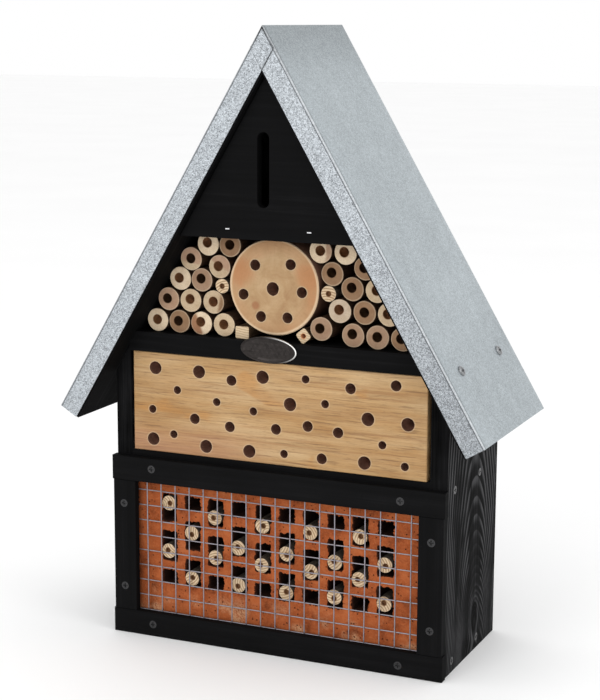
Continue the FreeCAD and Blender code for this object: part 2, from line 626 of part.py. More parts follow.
hanger_places = [(side * HANGER_SPACING / 2 + dx, UPPER_SHELF_Z + SHELF_T / 2)
                 for side in SIDES for dx in (-HANGER_SCREW_X, HANGER_SCREW_X)]
drive("hanger_screws", hanger_places, plain(hanger_screw), ("back_panel", "upper_shelf"))

staples = mesh_staples()
for rail in ("frame_top_rail", "frame_bottom_rail"):
    boards[rail] = boards[rail].cut(staples)

right_hanger = hanger_plate().cut(parts["hanger_screws"])
upright_wires, level_wires = mesh_wires()
left_tubes = tubes(LEFT_LAYERS, 0)
parts.update({node: [shape] for node, shape in boards.items()})
parts.update({
    "mesh_upright_wires": upright_wires,
    "mesh_level_wires": level_wires,
    "mesh_staples": staples,
    "brick": [brick()],
    "brick_sticks": brick_sticks(),
    "drilled_block": [drilled_block()],
    "left_tubes": left_tubes,
    "right_tubes": tubes(RIGHT_LAYERS, len(left_tubes)),
    "small_sticks": small_sticks(),
    "drilled_log": [drilled_log()],
    "log_wedges": log_wedges(),
    "plaque": [plaque()],
    "right_hanger_plate": [right_hanger],
    "left_hanger_plate": [mirrored(right_hanger)],
})

os.makedirs("parts", exist_ok=True)
total = FreeCAD.BoundBox()
for node, shapes in parts.items():
    solids = [solid for shape in shapes for solid in shape.Solids]
    if len(solids) != len(shapes) or not all(solid.isValid() for solid in solids):
        raise ValueError(f"{node}: {len(solids)} solids from {len(shapes)} shapes, or one is not valid")
    result = solids[0] if len(solids) == 1 else Part.makeCompound(solids)
    result.exportStep(f"parts/{node}.step")
    total.add(result.BoundBox)
print(len(parts), "nodes", total)
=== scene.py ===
import math
import random

import bmesh
import bpy
from mathutils import Matrix, Vector
from mathutils.geometry import delaunay_2d_cdt


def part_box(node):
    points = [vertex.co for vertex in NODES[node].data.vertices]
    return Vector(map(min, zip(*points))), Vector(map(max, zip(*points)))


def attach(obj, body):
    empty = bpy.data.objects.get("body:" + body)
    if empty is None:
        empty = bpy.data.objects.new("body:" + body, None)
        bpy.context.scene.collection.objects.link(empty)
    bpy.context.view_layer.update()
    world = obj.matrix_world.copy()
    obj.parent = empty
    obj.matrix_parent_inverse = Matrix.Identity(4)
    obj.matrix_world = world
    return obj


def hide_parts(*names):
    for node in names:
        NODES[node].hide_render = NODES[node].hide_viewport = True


# Looks of the insect hotel. Everything is in metres, in the CAD frame: +X right, +Y back, +Z up.

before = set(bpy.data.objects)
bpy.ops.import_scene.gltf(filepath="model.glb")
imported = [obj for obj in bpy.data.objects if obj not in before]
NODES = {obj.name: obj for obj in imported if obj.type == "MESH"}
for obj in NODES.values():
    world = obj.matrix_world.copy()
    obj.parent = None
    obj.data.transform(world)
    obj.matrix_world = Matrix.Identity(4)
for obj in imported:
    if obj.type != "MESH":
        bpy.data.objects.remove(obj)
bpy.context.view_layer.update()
MM = 0.001
TURN = 2 * math.pi
PITCH = math.radians(59.4)              # slope of the roof
RUN, RISE = math.cos(PITCH), math.sin(PITCH)


# ---- Shader building ----
class Value:
    """A number inside a material. Arithmetic on it adds one Math node."""

    def __init__(self, shader, socket):
        self.shader, self.socket = shader, socket

    def op(self, operation, *others):
        return self.shader.math(operation, self, *others)

    def __add__(self, other):
        return self.op("ADD", other)

    def __sub__(self, other):
        return self.op("SUBTRACT", other)

    def __rsub__(self, other):
        return self.shader.math("SUBTRACT", other, self)

    def __mul__(self, other):
        return self.op("MULTIPLY", other)

    def __truediv__(self, other):
        return self.op("DIVIDE", other)


class Shader:
    """One node material round a Principled shader."""

    def __init__(self, name):
        self.material = bpy.data.materials.new(name)
        self.material.use_nodes = True
        self.tree = self.material.node_tree
        self.surface = self.tree.nodes["Principled BSDF"]
        self.place = self.node("TexCoord", {}).outputs["Object"]
        self.heights = None

    def join(self, value, socket):
        if isinstance(value, Value):
            value = value.socket
        if isinstance(value, bpy.types.NodeSocket):
            self.tree.links.new(value, socket)
        else:
            socket.default_value = value

    def node(self, kind, inputs, **settings):
        made = self.tree.nodes.new("ShaderNode" + kind)
        for key, value in settings.items():
            setattr(made, key, value)
        for socket, value in inputs.items():
            self.join(value, made.inputs[socket])
        return made

    def math(self, operation, *values):
        return Value(self, self.node("Math", dict(enumerate(values)), operation=operation).outputs[0])

    def split(self, vector):
        parts = self.node("SeparateXYZ", {0: vector})
        return [Value(self, socket) for socket in parts.outputs]

    def vector(self, x, y, z):
        return self.node("CombineXYZ", {0: x, 1: y, 2: z}).outputs[0]

    def attribute(self, name):
        return self.node("Attribute", {}, attribute_name=name)

    def core(self):
        """The three numbers that a Shape keeps for each of its vertices."""
        return self.split(self.attribute("core").outputs["Vector"])

    def noise(self, vector, scale, detail=3.0, roughness=0.5, distortion=0.0):
        made = self.node("TexNoise", {"Vector": vector, "Scale": scale, "Detail": detail,
                                      "Roughness": roughness, "Distortion": distortion})
        return Value(self, made.outputs["Fac"])

    def cells(self, vector, scale):
        """(distance from the middle of the nearest cell, that cell's own tone)"""
        made = self.node("TexVoronoi", {"Vector": vector, "Scale": scale})
        return Value(self, made.outputs["Distance"]), self.split(made.outputs["Color"])[0]

    def smooth(self, value, low, high, to_low=0.0, to_high=1.0):
        made = self.node("MapRange", {"Value": value, "From Min": low, "From Max": high, "To Min": to_low,
                                      "To Max": to_high}, interpolation_type="SMOOTHSTEP")
        return Value(self, made.outputs[0])

    def ramp(self, factor, *stops):
        made = self.node("ValToRGB", {0: factor})
        elements = made.color_ramp.elements
        while len(elements) < len(stops):
            elements.new(0.5)
        for element, (position, colour) in zip(elements, stops):
            element.position = position
            element.color = (*colour, 1.0)
        return made.outputs[0]

    def mix(self, factor, a, b, blend="MIX"):
        colours = [(*c, 1.0) if isinstance(c, tuple) and len(c) == 3 else c for c in (a, b)]
        made = self.node("Mix", {0: factor, 6: colours[0], 7: colours[1]}, data_type="RGBA",
                         blend_type=blend)
        return made.outputs[2]

    def grey(self, value):
        """A number as a grey colour, to multiply a colour with."""
        return self.node("CombineColor", {0: value, 1: value, 2: value}).outputs[0]

    def relief(self, height, depth):
        """Adds a bump whose height of 1 stands depth metres out."""
        inputs = {"Height": height, "Strength": 1.0, "Distance": depth}
        if self.heights:
            inputs["Normal"] = self.heights
        self.heights = self.node("Bump", inputs).outputs[0]

    def finish(self, colour, roughness, metallic=0.0, specular=0.5):
        self.join(colour, self.surface.inputs["Base Color"])
        self.join(roughness, self.surface.inputs["Roughness"])
        self.surface.inputs["Metallic"].default_value = metallic
        self.surface.inputs["Specular IOR Level"].default_value = specular
        if self.heights:
            self.join(self.heights, self.surface.inputs["Normal"])
        return self.material


def grain_axes(s, direction):
    """(along the grain, across it, through the board) for one of the ways the boards run."""
    x, y, z = s.split(s.place)
    if direction == "level":
        return x, z, y
    if direction == "upright":
        return z, x, y
    if direction == "side":
        return z, y, x
    over = x.op("ABSOLUTE")
    return over * RUN - z * RISE, y, over * RISE + z * RUN


def growth(s, direction, heart, lean, peak, ring, knots, arch=0.0):
    """Ring phase of a sawn board from the distance to the tree's heart, and how near a knot is.

    With an arch, the rings are parabolas that close above the peak."""
    along, across, through = grain_axes(s, direction)
    slow = s.vector(along * 3.0, across * 14.0, through * 14.0)
    wander = (s.noise(slow, 1.0, 2.0) - 0.5) * 0.022
    a = across - heart[0] + (along - peak) * lean[0] + wander
    b = through - heart[1] + (along - peak) * lean[1]
    reach = (a * a + b * b).op("SQRT")
    if arch:
        square = a * a + (along - peak) * arch
        reach = (square * square + 1.0e-8).op("POWER", 0.25)
    knot = None
    for k_along, k_across, size in knots:
        u, v = (along - k_along) * 0.6, across - k_across
        near = ((u * u + v * v) / (-size * size)).op("EXPONENT")
        reach = reach + near * size * 1.3
        knot = near if knot is None else knot + near
    phase = (reach / ring).op("FRACT")
    fibre = s.noise(s.vector(along * 14.0, across * 900.0, through * 900.0), 1.0, 4.0, 0.6)
    return along, across, through, phase, fibre, knot


def black_wood(name, direction, heart=(0.0, 0.07), lean=(0.05, 0.0), peak=0.0, knots=(), tone=0.0055,
               contrast=2.0, ring=0.0046, bold=0.40, arch=0.0):
    """Pine under a thin black stain: the hard rings stay a little greyer than the soft ones."""
    s = Shader(name)
    along, across, through, phase, fibre, knot = growth(s, direction, heart, lean, peak, ring, knots,
                                                         arch)
    line = s.smooth(phase, 0.30, 0.88) - s.smooth(phase, 0.90, 1.0)
    line = line * s.smooth(s.noise(s.vector(along * 9.0, across * 45.0, through * 45.0), 1.0), 0.35, 0.65,
                           0.15, 1.35)
    if arch:
        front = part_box("right_wall")[0].y
        line = line * s.smooth(across, front, front + 0.0012)
    cloud = s.noise(s.place, 22.0, 3.0)
    streak = s.noise(s.vector(along * 5.0, across * 160.0, through * 160.0), 1.0, 4.0, 0.6)
    light = line * bold + (fibre - 0.5) * 0.55 + (streak - 0.5) * 0.9 + (cloud - 0.5) * 0.6
    if knot:
        light = light + s.smooth(knot, 0.05, 0.3) * 0.15 - s.smooth(knot, 0.3, 0.7) * 0.5
    dark, bright = tone * (1.0 - 0.2 * contrast), tone * (1.0 + 0.9 * contrast)
    colour = s.ramp(light + 0.3, (0.12, (dark, dark, dark * 1.04)), (0.42, (tone, tone, tone * 1.06)),
                    (0.95, (bright, bright, bright * 1.05)))
    s.relief(line * bold + fibre * 0.5, 0.00016)
    return s.finish(colour, s.smooth(light, 0.0, 0.7, 0.66, 0.50), specular=0.02)


def block_face():
    """Planed pine lying on its side: long flat rings, resin streaks, short dark fibres and red heartwood."""
    s = Shader("pine_face")
    along, across, through, phase, fibre, _ = growth(s, "level", (0.19, 0.03), (0.06, 0.0), 0.0, 0.0065, ())
    line = s.smooth(phase, 0.35, 0.9) - s.smooth(phase, 0.91, 1.0)
    blotch = s.noise(s.vector(along * 8.0, across * 48.0, through * 48.0), 1.0, 4.0, 0.62)
    streak = s.noise(s.vector(along * 7.0, across * 260.0, through * 260.0), 1.0, 4.0, 0.65)
    dash = s.noise(s.vector(along * 32.0, across * 620.0, through * 620.0), 1.0, 3.0, 0.6)
    pore = s.noise(s.vector(along * 170.0, across * 2400.0, through * 2400.0), 1.0, 2.0)
    base = s.ramp(blotch, (0.30, (0.315, 0.160, 0.055)), (0.46, (0.420, 0.256, 0.113)),
                  (0.66, (0.495, 0.335, 0.174)))
    stain = s.noise(s.vector(along * 22.0, across * 40.0, through * 40.0), 1.0, 2.0, 0.5, 0.4)
    base = s.mix(s.smooth(stain, 0.60, 0.70) * 0.60, base, (0.430, 0.205, 0.060))
    base = s.mix(line * 0.22, base, (0.30, 0.155, 0.062))
    base = s.mix(s.smooth(streak, 0.50, 0.68) * 0.55, base, (0.265, 0.130, 0.052))
    base = s.mix(s.smooth(dash, 0.53, 0.70) * 0.62, base, (0.175, 0.095, 0.046))
    base = s.mix(s.smooth(pore, 0.56, 0.74) * 0.45, base, (0.130, 0.075, 0.040))
    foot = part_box("drilled_block")[0].z
    red = s.smooth(across, foot + 0.030, foot + 0.004) * s.smooth(along, 0.02, -0.07)
    base = s.mix(red * s.smooth(blotch, 0.35, 0.55, 0.35, 0.65), base, (0.345, 0.165, 0.095))
    near = s.core()[2]
    base = s.mix(near * 0.6, base, (0.56, 0.43, 0.28))
    base = s.mix(1.0, base, s.grey(s.smooth(fibre, 0.2, 0.8, 0.86, 1.12)), "MULTIPLY")
    s.relief(fibre + line * 0.4 - s.smooth(dash, 0.54, 0.74), 0.00012)
    return s.finish(base, s.smooth(fibre, 0.2, 0.8, 0.50, 0.68), specular=0.2)


def bore_wall(name, mouth, deep, length):
    """Drilled wood: scorched brown at the mouth, and paler with depth, partly cleaner wood and partly painted
    light that lifts the shade inside the bore.
    """
    s = Shader(name)
    depth = s.core()[1]
    fuzz = s.noise(s.place, 900.0, 3.0)
    # from the mouth colour to the deep one: the paler deep colour is partly painted light
    shade = s.smooth(depth + (fuzz - 0.5) * 0.002, 0.0, length)
    tone = s.mix(1.0, s.mix(shade, mouth, deep), s.attribute("tint").outputs["Color"], "MULTIPLY")
    s.relief(fuzz, 0.0002)
    return s.finish(tone, 0.8, specular=0.05)


def clay():
    """Sandy fired clay: mottled orange-red with pores, pale lime bloom and dark firing marks."""
    s = Shader("fired_clay")
    mottle = s.noise(s.place, 60.0, 5.0, 0.62)
    sand = s.noise(s.place, 900.0, 3.0, 0.7)
    pore, grit = s.cells(s.place, 330.0)
    x, y, z = s.split(s.place)
    drag = s.noise(s.vector(x * 60.0, y * 60.0, z * 260.0), 1.0, 3.0, 0.6, 0.8)
    base = s.ramp(mottle, (0.30, (0.145, 0.034, 0.012)), (0.45, (0.300, 0.071, 0.022)),
                  (0.60, (0.385, 0.100, 0.032)), (0.80, (0.45, 0.142, 0.053)))
    base = s.mix(s.smooth(sand, 0.42, 0.75) * 0.35, base, (0.52, 0.185, 0.070))
    base = s.mix(s.smooth(drag, 0.56, 0.72) * 0.35, base, (0.160, 0.040, 0.018))
    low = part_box("brick")[0].z
    bloom = s.noise(s.place, 42.0, 2.0, 0.5)
    foot = s.smooth(z, low + 0.026, low + 0.006)
    lime = s.smooth(bloom, 0.50, 0.66) * s.smooth(sand, 0.3, 0.6) * foot
    base = s.mix(lime * 0.7, base, (0.62, 0.36, 0.20))
    holes = s.smooth(pore, 0.26, 0.12) * s.smooth(grit, 0.48, 0.62)
    base = s.mix(holes * 0.85, base, (0.045, 0.014, 0.008))
    # darker in a thin band at the lips of the holes
    tone_mask = s.core()[2]
    base = s.mix(tone_mask * s.smooth(mottle, 0.35, 0.6) * 0.5, base, (0.12, 0.035, 0.018))
    s.relief(sand * 0.7 + mottle * 1.5, 0.0004)
    s.relief(1.0 - holes, 0.0006)
    return s.finish(base, 0.9, specular=0.06)


def clay_hole():
    """Inside of the brick's holes: the same clay, darkened inwards with painted shade."""
    s = Shader("clay_hole")
    depth = s.core()[1]
    rough = s.noise(s.place, 260.0, 4.0, 0.6)
    # painted shade: the hole walls turn dark within 4 mm of the face
    tone = s.mix(s.smooth(depth + (rough - 0.5) * 0.004, 0.0, 0.004), (0.075, 0.024, 0.013),
                 (0.030, 0.014, 0.010))
    s.relief(rough, 0.0008)
    return s.finish(tone, 0.9, specular=0.05)


def cut_end(name, pitch, stripe):
    """Sawn end of a stick: rings a pitch apart round its heart, rays, pores and a paler rind."""
    s = Shader(name)
    tint = s.attribute("tint").outputs["Color"]
    u, v, share = s.core()
    reach = (u * u + v * v).op("SQRT")
    angle = v.op("ARCTAN2", u)
    drift = s.noise(s.place, 160.0, 3.0)
    rings = ((reach + drift * 0.0012) * (TURN / pitch)).op("SINE")
    rays = s.noise(s.vector(angle * 4.5, reach * 55.0, 0.0), 1.0, 3.0, 0.6)
    pores = s.noise(s.place, 1900.0, 3.0, 0.65)
    patch = s.noise(s.place, 150.0, 3.0)
    tone = s.mix(s.smooth(patch, 0.40, 0.65) * 0.30, tint, s.mix(1.0, tint, (0.66, 0.56, 0.47), "MULTIPLY"))
    tone = s.mix(s.smooth(rings, -0.2, 0.9) * stripe, tone, (0.215, 0.110, 0.048))
    tone = s.mix(s.smooth(rays, 0.52, 0.78) * 0.28, tone, (0.17, 0.095, 0.050))
    tone = s.mix(s.smooth(pores, 0.52, 0.78) * 0.32, tone, (0.15, 0.085, 0.045))
    tone = s.mix(s.smooth(share, 0.84, 0.96) * 0.35, tone, (0.60, 0.48, 0.34))
    tone = s.mix(s.smooth(share, 0.10, 0.0) * 0.45, tone, (0.16, 0.09, 0.05))
    s.relief(pores + rings * 0.15 + rays * 0.6, 0.0003)
    return s.finish(tone, 0.8, specular=0.12)


def bark(name, dark, light):
    """Dry bark or peeled barrel of a stick, streaked along its length."""
    s = Shader(name)
    x, y, z = s.split(s.place)
    streak = s.noise(s.vector(x * 500.0, y * 30.0, z * 500.0), 1.0, 4.0, 0.6)
    fleck = s.noise(s.place, 260.0, 4.0, 0.6)
    tone = s.ramp(streak * 0.6 + fleck * 0.4, (0.32, dark), (0.68, light))
    s.relief(streak + fleck * 0.6, 0.0005)
    return s.finish(tone, 0.82, specular=0.1)


def offcut():
    """Split softwood: a pale sawn end with slanting rings, and browner split sides."""
    s = Shader("split_wood")
    x, y, z = s.split(s.place)
    low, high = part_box("log_wedges")
    end = s.smooth(y - low.y, 0.0004, 0.0)
    drift = s.noise(s.place, 220.0, 3.0)
    rings = ((z + x * 0.12 + drift * 0.0012) * (TURN / 0.0019)).op("SINE")
    streak = s.noise(s.vector(x * 500.0, y * 30.0, z * 500.0), 1.0, 4.0, 0.6)
    pale = s.mix(s.smooth(rings, 0.1, 1.0) * 0.50, (0.60, 0.465, 0.305), (0.23, 0.125, 0.058))
    side = s.ramp(streak, (0.32, (0.045, 0.025, 0.014)), (0.68, (0.16, 0.10, 0.055)))
    square_reach = 5.9 * MM             # from the square wedge's middle to its outermost edges
    u, v = x - (high.x - square_reach), z - (low.z + square_reach)
    pith = s.smooth((u * u + v * v).op("SQRT"), 0.0027, 0.0021)
    s.relief(streak + rings * 0.2, 0.0003)
    return s.finish(s.mix(pith, s.mix(end, side, pale), (0.62, 0.31, 0.15)), 0.8, specular=0.12)


def log_end():
    """Sawn log slice: pale wood with an orange-red zone in places towards the bark, fine rings and checks."""
    s = Shader("log_end")
    u, v, near = s.core()
    reach = (u * u + v * v).op("SQRT")
    angle = v.op("ARCTAN2", u)
    drift = s.noise(s.place, 34.0, 3.0)
    rings = ((reach + drift * 0.004) * 2300.0).op("SINE")
    fine = s.noise(s.vector(angle * 26.0, reach * 45.0, 0.0), 1.0, 4.0, 0.6)
    pores = s.noise(s.place, 1500.0, 3.0, 0.65)
    blotch = s.noise(s.place, 75.0, 4.0, 0.6, 0.5)

    def spot(at_u, at_v, size):
        du, dv = u - at_u, v - at_v
        return ((du * du + dv * dv) / (-size * size)).op("EXPONENT")

    tone = s.ramp(blotch, (0.30, (0.350, 0.210, 0.106)), (0.48, (0.415, 0.272, 0.144)),
                  (0.68, (0.480, 0.332, 0.190)))
    outer = s.smooth(reach + (blotch - 0.5) * 0.012, 0.022, 0.034)
    stain = spot(0.029, 0.009, 0.013) * 1.1 + spot(-0.028, 0.010, 0.013) + spot(-0.006, 0.033, 0.012) * 0.5
    stain = stain + spot(0.010, -0.033, 0.014) * 0.5 + spot(0.032, -0.012, 0.010) * 0.6
    heat = s.smooth(stain + (blotch - 0.5) * 1.2, 0.25, 1.0)
    tone = s.mix(outer * 0.38, tone, (0.420, 0.215, 0.105))
    tone = s.mix(heat * 0.62, tone, (0.405, 0.165, 0.066))
    tone = s.mix(s.smooth(spot(-0.0155, -0.0155, 0.0045) + (blotch - 0.5), 0.30, 0.75) * 0.75, tone,
                 (0.30, 0.125, 0.060))
    tone = s.mix(s.smooth(rings, 0.0, 1.0) * 0.06, tone, (0.30, 0.165, 0.080))
    tone = s.mix(s.smooth(fine, 0.52, 0.76) * 0.26, tone, (0.285, 0.160, 0.085))
    tone = s.mix(s.smooth(pores, 0.55, 0.8) * 0.20, tone, (0.22, 0.125, 0.065))
    tone = s.mix(near * 0.6, tone, (0.62, 0.48, 0.32))
    tone = s.mix(s.smooth(reach, 0.0352, 0.0368) * 0.8, tone, (0.66, 0.50, 0.33))
    s.relief(pores + rings * 0.1 + fine * 0.5, 0.00022)
    return s.finish(tone, 0.74, specular=0.12)


def spangle(s, size, spread):
    """Zinc crystals of a size, as a brightness round zero."""
    _, big = s.cells(s.place, 1.0 / size)
    _, small = s.cells(s.place, 2.3 / size)
    grain = s.noise(s.place, 1.6 / size, 2.0, 0.6)
    return ((big - 0.5) * 0.8 + (small - 0.5) * 0.6 + (grain - 0.5) * 1.5) * spread


def zinc(s, colour, level):
    """Galvanised finish of a colour, lightened or darkened by a level round 1."""
    s.relief(level, 0.00003)
    tone = s.mix(1.0, colour, s.grey(level), "MULTIPLY")
    return s.finish(tone, s.smooth(level, 0.6, 1.4, 0.62, 0.46), metallic=0.55)


def zinc_slope(ridge):
    """Top of the sheet: fine even spangle, duller near the ridge, painted shade in the crease and at the foot
    of the fold, and a painted highlight over the fold.
    """
    s = Shader("zinc_slope")
    z = s.split(s.place)[2]
    cloud = s.noise(s.place, 9.0, 4.0, 0.6)
    # painted shade (first) and painted highlight (second) that the sheet's vertices carry
    crease, fold, _ = s.core()
    mottle = s.noise(s.place, 75.0, 3.0, 0.6)
    # darker towards the ridge
    ridge_darkening = s.smooth(z + (cloud - 0.5) * 0.03, ridge, ridge - 0.05, 0.76, 1.0)
    level = (spangle(s, 0.0009, 0.42) + (cloud - 0.5) * 0.34 + (mottle - 0.5) * 0.22 + 1.0) * ridge_darkening
    # a painted highlight lightens the fold, painted shade darkens the crease
    colour = s.mix(fold, s.mix(crease, (0.400, 0.440, 0.462), (0.040, 0.045, 0.050)), (0.50, 0.52, 0.54))
    return zinc(s, colour, level)


def zinc_fascia(ridge, flange, fold):
    """Front flanges: a coarser spangle, with painted shade along the foot of the fold and painted shadow in
    the two laps under the ridge.
    """
    s = Shader("zinc_fascia")
    x, _, z = s.split(s.place)
    side = x.op("ABSOLUTE")
    depth = (ridge - z) * RUN - side * RISE
    lap = (z - ridge + flange / RUN) * RUN - side * RISE
    within = s.smooth(depth, 0.0, 0.0004) * s.smooth(x, -0.002, 0.0, 0.5, 1.0)
    # painted shadow along the edge of each lap
    seam = s.smooth(lap.op("ABSOLUTE"), 0.0007, 0.0002) * within
    # painted shade in a strip just under the fold
    edge = s.smooth(depth - fold, 0.0007, 0.0002)
    cloud = s.noise(s.place, 12.0, 3.0)
    # darker towards the right-hand end
    tone_mask = s.smooth(x, 0.06, 0.17, 1.0, 0.78)
    level = (spangle(s, 0.0008, 0.98) + (cloud - 0.5) * 0.25 + 1.0) * tone_mask
    colour = s.mix(seam * 0.8, (0.362, 0.388, 0.412), (0.07, 0.075, 0.08))
    return zinc(s, s.mix(edge * 0.8, colour, (0.06, 0.065, 0.07)), level)


def steel(name, dark, light, roughness, metallic=0.9, scale=700.0):
    """Small metal pieces: uneven plating with faint scratches."""
    s = Shader(name)
    x, y, z = s.split(s.place)
    cloud = s.noise(s.place, scale, 3.0, 0.6)
    scratch = s.noise(s.vector(x * 300.0, y * 300.0, z * 4000.0), 1.0, 2.0)
    level = cloud * 0.7 + scratch * 0.3
    s.relief(level, 0.00004)
    return s.finish(s.ramp(level, (0.3, dark), (0.7, light)),
                    s.smooth(level, 0.3, 0.7, roughness - 0.08, roughness + 0.1), metallic=metallic)


def pewter():
    """Dark cast metal, with a painted highlight on the rim at one end."""
    s = Shader("pewter")
    x, y, z = s.split(s.place)
    tarnish = s.noise(s.place, 240.0, 4.0, 0.6)
    lines = s.noise(s.vector(x * 60.0, y * 60.0, z * 2600.0), 1.0, 3.0)
    # painted highlight on the rim, from the plate's vertices
    tone_mask = s.core()[0]
    s.relief(tarnish * 0.5 + lines, 0.00003)
    tone = s.ramp(tarnish * 0.6 + lines * 0.4, (0.3, (0.014, 0.012, 0.011)), (0.7, (0.042, 0.036, 0.034)))
    gloss = s.smooth(tarnish, 0.3, 0.7, 0.26, 0.42)
    return s.finish(s.mix(tone_mask, tone, (0.86, 0.85, 0.83)), gloss, metallic=0.85)


# ---- Mesh building ----
class Shape:
    """Vertices and faces gathered ring by ring. core is a place of the vertex's own, tint its colour."""

    def __init__(self):
        self.points, self.core, self.tint, self.faces, self.paint = [], [], [], [], []

    def ring(self, points, core, tint=(1.0, 1.0, 1.0)):
        first = len(self.points)
        self.points += [Vector(p) for p in points]
        self.core += core
        self.tint += tint if isinstance(tint, list) else [tint] * len(points)
        return list(range(first, first + len(points)))

    def face(self, corners, slot=0):
        self.faces.append(corners)
        self.paint.append(slot)

    def bridge(self, a, b, slot=0, closed=True):
        for i in range(len(a) if closed else len(a) - 1):
            j = (i + 1) % len(a)
            self.face((a[i], a[j], b[j], b[i]), slot)

    def object(self, name, materials, slot, *nodes, sharp=35.0):
        mesh = bpy.data.meshes.new(name)
        mesh.from_pydata(self.points, [], self.faces)
        for material in materials:
            mesh.materials.append(material)
        mesh.polygons.foreach_set("material_index", self.paint)
        core = mesh.attributes.new("core", "FLOAT_VECTOR", "POINT")
        core.data.foreach_set("vector", [c for p in self.core for c in p])
        tint = mesh.color_attributes.new("tint", "FLOAT_COLOR", "POINT")
        tint.data.foreach_set("color", [c for p in self.tint for c in (*p, 1.0)])
        bm = bmesh.new()
        bm.from_mesh(mesh)
        bmesh.ops.recalc_face_normals(bm, faces=bm.faces)
        bm.to_mesh(mesh)
        mesh.shade_smooth()
        mesh.set_sharp_from_angle(angle=math.radians(sharp))
        made = bpy.data.objects.new(name, mesh)
        bpy.context.scene.collection.objects.link(made)
        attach(made, "root")
        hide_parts(*nodes)
        return made


def rims(node):
    """(x, z, width, height) of each outline in the front plane of a CAD node, the widest first."""
    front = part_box(node)[0].y
    bm = bmesh.new()
    bm.from_mesh(NODES[node].data)
    bmesh.ops.remove_doubles(bm, verts=bm.verts, dist=1e-6)
    bm.normal_update()
    beside = {}
    for edge in bm.edges:
        tilts = [abs(f.normal.y) for f in edge.link_faces]
        in_front = all(abs(v.co.y - front) < 1e-5 for v in edge.verts)
        if in_front and tilts and max(tilts) > 0.9 > min(tilts):
            for v in edge.verts:
                beside.setdefault(v, []).append(edge.other_vert(v))
    found = []
    while beside:
        todo, seen = [next(iter(beside))], []
        while todo:
            v = todo.pop()
            if v in beside:
                seen.append(v.co.copy())
                todo += beside.pop(v)
        xs, zs = [c.x for c in seen], [c.z for c in seen]
        found.append(((min(xs) + max(xs)) / 2, (min(zs) + max(zs)) / 2, max(xs) - min(xs), max(zs) - min(zs)))
    bm.free()
    return sorted(found, key=lambda rim: (-round(rim[2], 5), round(rim[1], 4), rim[0]))


def phases_of(pick):
    return [pick.uniform(0, TURN) for _ in range(4)]


def wave(angle, phases, along=0.0):
    """Smooth unevenness round a circle, from -1 to 1."""
    return (math.sin(2 * angle + phases[0]) + 0.7 * math.sin(3 * angle + phases[1] + along * 40)
            + 0.5 * math.sin(7 * angle + phases[2])
            + 0.4 * math.sin(13 * angle + phases[3] - along * 90)) / 2.6


def add_stick(shape, stick, front, rear, bore_depth, seed, tint_at, bore_tint, heart_away=0.0, segments=36):
    """Round stick along Y with a bore: slots are 0 its sawn end, 1 its barrel, 2 its bore."""
    (x, z, width, _), (bx, bz, bore_width, _) = stick
    pick = random.Random(seed)
    phases = phases_of(pick)
    slant = [pick.uniform(-0.02, 0.02) for _ in range(2)]
    heart = pick.uniform(0, TURN)
    hx, hz = bx + heart_away * math.cos(heart), bz + heart_away * math.sin(heart)
    radius, bore = width / 2, bore_width / 2
    front += (abs(slant[0]) + abs(slant[1])) * radius
    nick, ripple = 0.3 * MM, 0.012

    def ring(share, r, y, rough, tilted, bored=False):
        cx, cz = bx + (x - bx) * share, bz + (z - bz) * share
        points, core, tints = [], [], []
        for i in range(segments):
            angle = TURN * i / segments
            reach = r * (1 - ripple * rough * (1 + wave(angle, phases, y)))
            px, pz = cx + math.cos(angle) * reach, cz + math.sin(angle) * reach
            py = y + (slant[0] * (px - x) + slant[1] * (pz - z)) * tilted
            points.append((px, py, pz))
            core.append((0.0, y - front, share) if bored else (px - hx, pz - hz, share))
            tints.append(bore_tint if bored else tint_at((px - x) / radius, (pz - z) / radius))
        return shape.ring(points, core, tints)

    bottom = ring(0.0, bore * 0.9, front + bore_depth, 0.6, 0, True)
    inner = ring(0.0, bore * 0.97, front + 2.5 * MM, 0.8, 0, True)
    mouth = ring(0.0, bore, front + nick, 1.0, 0, True)
    lip = ring(0.0, bore + nick, front, 1.0, 1, True)
    for a, b in ((bottom, inner), (inner, mouth), (mouth, lip)):
        shape.bridge(a, b, 2)
    shape.face(bottom, 2)
    last = ring(0.0, bore + nick, front, 1.0, 1)
    for share in (0.12, 0.35, 0.65, 0.88, 1.0):
        here = ring(share, bore + nick + (radius - 2 * nick - bore) * share, front, 1.0, 1)
        shape.bridge(last, here, 0)
        last = here
    here = ring(1.0, radius, front + nick, 1.0, 1)
    shape.bridge(last, here, 0)
    last = here
    lengths = 7
    for i in range(1, lengths + 1):
        here = ring(1.0, radius, front + nick + (rear - front - nick) * i / lengths, 1.0, 0)
        shape.bridge(last, here, 1)
        last = here
    shape.face(last, 1)


def sticks_of(node):
    """Pairs of stick and bore outlines of a CAD node, from the bottom up and left to right."""
    found = rims(node)
    half = len(found) // 2
    bores = found[half:]
    pairs = [(s, min(bores, key=lambda b: math.hypot(b[0] - s[0], b[1] - s[1]))) for s in found[:half]]
    return sorted(pairs, key=lambda p: (round(p[0][1], 3), p[0][0]))


def pierced(shape, outline, holes, inner, height, core_of):
    """Fills the front face between an outline and the holes. Gives the vertex ring of each, outline first."""
    loops = [outline, *holes]
    points = [p for loop in loops for p in loop] + inner
    starts = [sum(len(l) for l in loops[:i]) for i in range(len(loops))]
    rings = [list(range(s, s + len(l))) for s, l in zip(starts, loops)]
    edges = [(r[i], r[(i + 1) % len(r)]) for r in rings for i in range(len(r))]
    out, _, triangles, origins, _, _ = delaunay_2d_cdt([Vector(p) for p in points], edges, rings, 2, 1e-8)
    first = len(shape.points)
    shape.ring([(p.x, height(p.x, p.y), p.y) for p in out], [core_of(p.x, p.y) for p in out])
    where = {o: first + i for i, group in enumerate(origins) for o in group}
    for corners in triangles:
        shape.face([first + c for c in corners])
    return [[where[i] for i in ring] for ring in rings]


